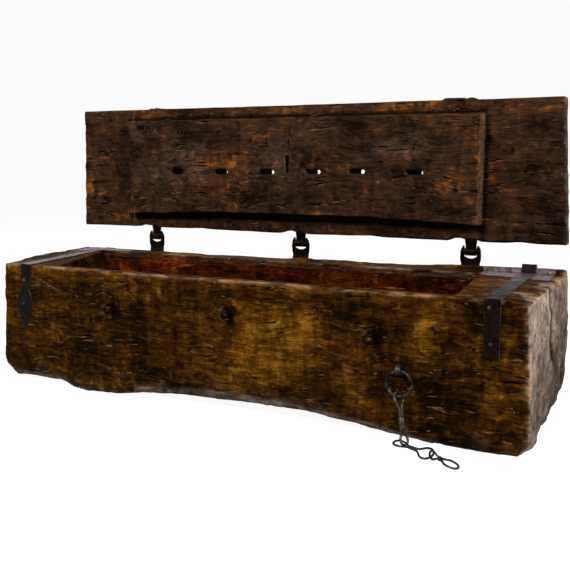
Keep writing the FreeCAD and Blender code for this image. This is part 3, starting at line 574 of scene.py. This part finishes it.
# the front's lower bevel faces down, away from the lamps; it is made greyer and lighter: painted
# light
bevel = smooth(-n[:, 2], 0.12, 0.45) * (y < -0.10) * (z < 0.16) * (z > 0.002)
left_end = (1 - smooth(end_face(p, -1), 0.006, 0.030)) * smooth(-n[:, 0], 0.35, 0.75)
grey = 0.92 * end + 0.7 * left_end + 0.7 * bevel
# greyer towards the foot, on the right end's top, and on the left end's top, whose grey is wear
# plus a painted sheen
for place, size, seed, octaves, lo, hi in (
        (0.22 * low, (0.20, 0.07, 0.07), 81, 3, 0.0, 0.7),
        (deck * smooth(x, 0.72, 0.90), (0.06, 0.05, 0.05), 83, 2, 0.1, 0.8),
        (0.8 * deck * (1 - smooth(x, -0.78, -0.70)), (0.03, 0.16, 0.05), 87, 3, -0.3, 0.5)):
    grey = grey + place * smooth(fbm(p, size, seed, octaves), lo, hi)
# painted shade: the hollow's inner left wall, facing +x, is made darker and less orange
shaded = well * smooth(n[:, 0], 0.5, 0.8)
lift = 0.10 * front * smooth(fbm(p, (0.34, 0.12, 0.12), 91, 3), -0.2, 0.9)
# painted shade on the front towards its right end, and a pool of painted light left of its middle
lift = lift - 0.12 * front * smooth(x, 0.35, 0.85) + 0.06 * front * bell(x + 0.15, 0.45)
# the front lighter just under the rim and darker towards its foot
lift = lift + front * (0.10 * smooth(z, 0.36, 0.40) - 0.13 * (1 - smooth(z, 0.08, 0.20)))
lift = lift + 0.25 * bevel - 0.22 * shaded
# tops a little darker; painted shade inside the hollow, deepening towards its right end
lift = lift - 0.08 * deck - 0.05 * well - 0.15 * well * smooth(x, 0.40, 0.60)
# painted light on the right end face: lighter higher up and in front of the crack, as from the side
# lamp
lift = lift + end * (0.34 * smooth(z, 0.08, 0.32) - 0.20 + 0.20 * (y < line - 0.004) - 0.08)
for key, values in (("wear_and_highlight", wear_and_highlight), ("stain_and_shade", stain_and_shade), ("amber", 0.85 * well - 0.5 * shaded),
                    ("crack", gape), ("grey", grey)):
    attribute(trunk.data, key, np.clip(values, 0, 1))
attribute(trunk.data, "lift", np.clip(lift, -0.5, 0.5))
trunk.data.materials.append(TRUNK)
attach(trunk, "chest")
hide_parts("trunk")


# ---------------------------------------------------------------- lid, worked on as if closed
def turned(p, angle):
    """Points turned about the hinge line."""
    c, s = math.cos(angle), math.sin(angle)
    y, z = p[:, 1] - PIVOT_Y, p[:, 2] - PIVOT_Z
    return np.c_[p[:, 0], PIVOT_Y + y * c - z * s, PIVOT_Z + y * s + z * c]


lid = remeshed("lid_board", LID_VOXEL, "lid_plank")
p = turned(coords(lid.data), OPEN)
x = p[:, 0]
wander = vnoise(np.c_[x / 0.07, p[:, 1] / 0.08, p[:, 2] / 0.08], 7)
r_edge = np.clip(0.006 + 0.004 * wander, 0.002, 0.011)
board = p[:, 2] > LID_UNDER - 0.002
right_end = 0.898 + 0.021 * (p[:, 1] + HALF_D) / 0.425
for na, da in ((-AY, HALF_D), (AY, LID_BACK)):
    p = round_edge(p, na, da, AZ, LID_TOP, r_edge, board)
    p = round_edge(p, na, da, -AZ, -LID_UNDER, r_edge, board)
for na, da in ((-AY, -FIELD_FRONT), (AX, FIELD_X1), (-AX, -FIELD_X0)):
    p = round_edge(p, na, da, -AZ, -FIELD_FACE, r_edge * 0.9, ~board)
put(lid.data, turned(p, -OPEN))
pivot = np.array([0, PIVOT_Y, PIVOT_Z])
n = turned(normals(lid.data) + pivot, OPEN) - pivot
hewn = fbm(p, (0.22, 0.070, 0.070), 111, 3)
facet = fbm(p, (0.050, 0.024, 0.024), 123, 3)
gouge = np.abs(vnoise(np.c_[x / 0.065, p[:, 1] / 0.030, p[:, 2] / 0.030], 131))
push = 0.0002 + 0.0017 * hewn + 0.0010 * facet - 0.0016 * gouge
edge = (np.abs(n[:, 1]) > 0.6) & board
push = np.where(edge, 0.5 * push, push)
push = np.clip(push, -0.006, 0.0016)
resting = (n[:, 2] < -0.3) & (p[:, 2] > LID_UNDER - 0.004)
push = np.where(resting, np.clip(push - 0.0008, -0.006, -0.0003), push)
outer = n[:, 2] > 0.5
push = np.where(outer, np.clip(-0.0006 + 0.0004 * facet, -0.001, -0.0001), push)
p = p + n * push[:, None]
y, z = p[:, 1], p[:, 2]

# hewn hollows in the back edge beside the hinges, and bumps on the front edge
for hx, half, deep in ((-0.606, 0.010, 0.008), (0.006, 0.012, 0.009), (0.588, 0.014, 0.010),
                       (-0.36, 0.030, 0.004), (0.30, 0.040, 0.003), (0.78, 0.030, 0.003)):
    bite = bell(x - hx, half) * smooth(y, LID_BACK - 0.020, LID_BACK - 0.002)
    y -= deep * bite * (1 - smooth(z, LID_UNDER + 0.028, LID_TOP))
fuller = smooth(y, LID_BACK - 0.035, LID_BACK - 0.002)
keep = np.zeros(len(p))
for hx in (-0.588, 0.020, 0.612):
    keep = np.maximum(keep, 1 - smooth(np.abs(x - hx), 0.035, 0.055))
y += 0.0055 * fuller * (1 - keep)
shorter = smooth(0.02 - (right_end - p[:, 0]), 0.0, 0.02) * (1 - smooth(y, -0.2, 0.2))
p[:, 0] -= 0.0045 * shorter
for lo, hi, high in ((-0.576, -0.562, 0.004), (-0.556, -0.540, 0.005), (0.531, 0.603, 0.006),
                     (0.607, 0.630, 0.006)):
    knob = smooth(x, lo - 0.006, lo + 0.006) * (1 - smooth(x, hi - 0.006, hi + 0.006))
    y -= high * knob * (1 - smooth(y, -HALF_D, -HALF_D + 0.03))

# the slots narrow towards the outer face
for sx, half, deep in ((-0.433, 0.024, 0.006), (-0.2495, 0.0265, 0.008), (-0.068, 0.030, 0.013),
                       (0.1045, 0.0275, 0.014), (0.261, 0.029, 0.017), (0.454, 0.028, 0.031)):
    wall = 1 - smooth(p[:, 0], sx - half, sx - half + 0.004)
    wall = wall * smooth(p[:, 0], sx - half - 0.010 - 1.6 * deep, sx - half)
    p[:, 0] += deep * wall * (np.abs(y + 0.020) < 0.030) * smooth(z, 0.400, 0.435)
put(lid.data, turned(p, -OPEN))

# where the lid is rubbed pale, with painted highlight on the raised field's right side face and,
# with the wear, on its left arris
inner = n[:, 2] < -0.5
field = inner & (z < LID_UNDER - 0.015)
margin = inner & ~field
ragged = smooth(fbm(p, (0.040, 0.018, 0.018), 151, 3), -0.4, 0.8)
wear_and_highlight = 0.5 * bell(x - right_end, 0.004) + 0.35 * bell(z - LID_UNDER, 0.003) * edge
side_face = (np.abs(n[:, 0]) > 0.5) & ~board & (x > 0)
# the raised field's right side face made paler: a painted highlight
wear_and_highlight = wear_and_highlight * ragged + 0.22 * side_face
wear_and_highlight += 0.30 * bell(x - FIELD_X0 + 0.003, 0.003) * (n[:, 2] < 0.5) * (z < LID_TOP - 0.02)
wear_and_highlight += 0.35 * along_edge(y - FIELD_BACK, z - FIELD_FACE, 0.006) * ragged

# orange and black places, a dark line above the raised field, and painted shadow below it and to
# its right
orange = spots(p, ((-0.650, 0.045, 0.016, 0.030, 10, 0.9), (0.700, -0.02, 0.020, 0.11, 4, 0.5),
                   (0.10, -0.03, 0.09, 0.03, 0, 0.35), (-0.30, 0.05, 0.10, 0.02, 0, 0.3),
                   (0.79, 0.08, 0.05, 0.02, 0, 0.5), (0.28, -0.13, 0.08, 0.02, 0, 0.35)), (0, 1))
black = spots(p, ((-0.600, -0.165, 0.022, 0.010, 0, 0.9), (-0.365, -0.190, 0.010, 0.008, 0, 0.8),
                  (0.80, -0.02, 0.10, 0.028, 0, 0.65), (0.86, 0.10, 0.04, 0.030, 0, 0.6),
                  (-0.70, 0.01, 0.040, 0.010, 12, 0.6), (0.58, 0.03, 0.02, 0.006, 0, 0.7)), (0, 1))
beside = margin * (np.abs(x) < HALF_FIELD)
over_step = 1.2 * bell(y - FIELD_FRONT + 0.008, 0.009) * beside
# painted shadow that the raised field would cast below it and to its right
under_step = bell(y - FIELD_BACK - 0.006, 0.010) * beside
beside_step = bell(x - FIELD_X1 - 0.012, 0.012) * margin * (y > FIELD_FRONT)
lift = 0.05 * field + 0.12 * orange - 0.04 * (margin & (x > 0.66)) + 0.06 * (margin & (x < -0.66))
lift = lift + 0.12 * (margin & (y < FIELD_FRONT)) * smooth(x, -0.45, -0.25)
attribute(lid.data, "wear_and_highlight", np.clip(wear_and_highlight, 0, 1))
attribute(lid.data, "stain_and_shade", np.clip(black + 0.8 * (over_step + under_step + beside_step), 0, 1))
attribute(lid.data, "amber", np.clip(orange, 0, 1))
attribute(lid.data, "crack", np.zeros(len(p)))
attribute(lid.data, "grey", 0.10 * field * smooth(fbm(p, (0.20, 0.08, 0.08), 161, 3), 0.0, 0.8))
attribute(lid.data, "lift", np.clip(lift, -0.5, 0.5))
lid.data.materials.append(LID)
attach(lid, "lid")
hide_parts("lid_board")


# ---------------------------------------------------------------- ironwork
def forged(node, body, voxel, dent, material, seed):
    """The node's iron with softened arrises and hammer marks, riding its body."""
    ob = remeshed(node, voxel, node + "_forged")
    q = neighbours_mean(ob.data, coords(ob.data), 1, 0.5)
    put(ob.data, q)
    m = normals(ob.data)
    d = dent * (fbm(q, (0.016, 0.016, 0.016), seed, 2) - 0.7)
    q = q + m * np.minimum(d, 0)[:, None]
    if node.startswith(("end_strap_right", "rear_band_right")):
        q[:, 2] += lip(q)
    if node.startswith("end_strap_left"):
        q[:, 2] -= 0.009 * smooth(q[:, 1], 0.15, 0.22) * smooth(q[:, 2], 0.380, 0.405)
    staple = node.startswith("lock_staple")
    q = q + m * 0.0013 * staple  # heavier than the solids
    put(ob.data, q)
    # painted sheen on the upward faces of the rear bands and left end strap; painted highlight on
    # the end straps' side arrises and the lock staples' upper left
    upward = smooth(m[:, 2], 0.7, 0.95) * (q[:, 2] > 0.40) * (body == "chest")
    shine = {"rear_band_left": 1.0, "rear_band_right": 0.9, "end_strap_left": 0.9}
    arris = 0.55 * smooth(np.abs(m[:, 0]), 0.5, 0.8) * node.startswith("end_strap")
    staple_highlight = smooth(m @ np.array([-0.5, -0.3, 0.81]), 0.72, 0.95) * staple
    attribute(ob.data, "glare", np.clip(shine.get(node, 0) * upward + arris + staple_highlight, 0, 1))
    ob.data.materials.append(material)
    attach(ob, body)
    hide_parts(node)


seed = 300
for body, nodes in frame["record"]["behaviour"]["bodies"].items():
    for node in nodes:
        seed += 7
        if node in ("trunk", "lid_board"):
            continue
        if "clinched" in node:
            forged(node, body, NAIL_VOXEL, 0.00025, STRAP, seed)
        elif "nail" in node:
            forged(node, body, NAIL_VOXEL, 0.00025, NAIL, seed)
        elif node in ("pull_ring", "hasp_link", "middle_link", "end_link"):
            forged(node, body, ROD_VOXEL, 0.00025, LINK, seed)
        elif "staple" in node:
            material = STRAP if node.startswith("lock") else LINK
            forged(node, body, ROD_VOXEL, 0.0003, material, seed)
        else:
            forged(node, body, BAND_VOXEL, 0.0005, STRAP, seed)

# ---------------------------------------------------------------- stage, light, camera
floor_mesh = bpy.data.meshes.new("floor")
floor_mesh.from_pydata([(-9, -9, 0), (9, -9, 0), (9, 9, 0), (-9, 9, 0)], [], [(0, 1, 2, 3)])
floor = bpy.data.objects.new("floor", floor_mesh)
bpy.context.scene.collection.objects.link(floor)
floor.location.z = -0.0005
mat = bpy.data.materials.new("studio_floor")
mat.use_nodes = True


def pale_fac(tree, strength):
    """Strength of the white that the camera, polished iron and glass see."""
    path = tree.nodes.new("ShaderNodeLightPath")
    total = path.outputs["Is Camera Ray"]
    for ray in ("Is Glossy Ray", "Is Transmission Ray"):
        most = tree.nodes.new("ShaderNodeMath")
        most.operation = "MAXIMUM"
        tree.links.new(total, most.inputs[0])
        tree.links.new(path.outputs[ray], most.inputs[1])
        total = most.outputs[0]
    times = tree.nodes.new("ShaderNodeMath")
    times.operation = "MULTIPLY"
    tree.links.new(total, times.inputs[0])
    times.inputs[1].default_value = strength
    return times.outputs[0]


t = mat.node_tree
t.nodes.clear()
out = t.nodes.new("ShaderNodeOutputMaterial")
both = t.nodes.new("ShaderNodeAddShader")
white = t.nodes.new("ShaderNodeEmission")
t.links.new(pale_fac(t, 0.94), white.inputs[1])
matt = t.nodes.new("ShaderNodeBsdfDiffuse")
matt.inputs[0].default_value = (0.20, 0.20, 0.20, 1)
t.links.new(matt.outputs[0], both.inputs[0])
t.links.new(white.outputs[0], both.inputs[1])
t.links.new(both.outputs[0], out.inputs[0])
floor_mesh.materials.append(mat)

world = bpy.data.worlds.new("studio")
bpy.context.scene.world = world
world.use_nodes = True
t = world.node_tree
t.nodes.clear()
out = t.nodes.new("ShaderNodeOutputWorld")
mix = t.nodes.new("ShaderNodeMixShader")
seen = t.nodes.new("ShaderNodeBackground")
seen.inputs[0].default_value = (1, 1, 1, 1)
seen.inputs[1].default_value = 0.97
lit = t.nodes.new("ShaderNodeBackground")
lit.inputs[0].default_value = (0.90, 0.90, 0.92, 1)
lit.inputs[1].default_value = 0.07
t.links.new(pale_fac(t, 1.0), mix.inputs[0])
t.links.new(lit.outputs[0], mix.inputs[1])
t.links.new(seen.outputs[0], mix.inputs[2])
t.links.new(mix.outputs[0], out.inputs[0])


def softbox(name, place, aim, size, power, colour=(1, 1, 1)):
    light = bpy.data.lights.new(name, "AREA")
    light.shape = "RECTANGLE"
    light.size, light.size_y = size
    light.energy = power
    light.color = colour
    ob = bpy.data.objects.new(name, light)
    ob.location = place
    ob.rotation_euler = (Vector(aim) - Vector(place)).to_track_quat("-Z", "Y").to_euler()
    bpy.context.scene.collection.objects.link(ob)


softbox("key", (-1.5, -2.6, 3.3), (0, 0, 0.35), (0.9, 0.7), 165, (1.0, 0.97, 0.92))
softbox("side", (3.6, -0.9, 2.4), (0.9, 0, 0.30), (1.0, 1.0), 190, (1.0, 0.98, 0.96))
softbox("over", (-0.4, 2.4, 3.0), (0, 0, 0.4), (3.0, 1.0), 85, (0.94, 0.93, 1.0))

YAW, PITCH, ROLL = math.radians(27.47), math.radians(10.34), math.radians(-1.0)
fwd = Vector((-math.sin(YAW), math.cos(YAW), 0))
right = Vector((math.cos(YAW), math.sin(YAW), 0))
up = Vector((0, 0, 1))
fwd2 = fwd * math.cos(PITCH) - up * math.sin(PITCH)
up2 = up * math.cos(PITCH) + fwd * math.sin(PITCH)
right3 = right * math.cos(ROLL) + up2 * math.sin(ROLL)
up3 = up2 * math.cos(ROLL) - right * math.sin(ROLL)
cam_data = bpy.data.cameras.new("camera")
cam_data.sensor_width = SENSOR
cam_data.sensor_fit = "HORIZONTAL"
cam_data.lens = FOCAL_PX / FRAME_PX * SENSOR
cam_data.clip_end = 50.0
camera = bpy.data.objects.new("camera", cam_data)
m = Matrix((right3, up3, -fwd2)).transposed().to_4x4()
m.translation = Vector(CAMERA_AT)
camera.matrix_world = m
bpy.context.scene.collection.objects.link(camera)
bpy.context.scene.camera = camera
bpy.context.scene.view_settings.view_transform = "Standard"
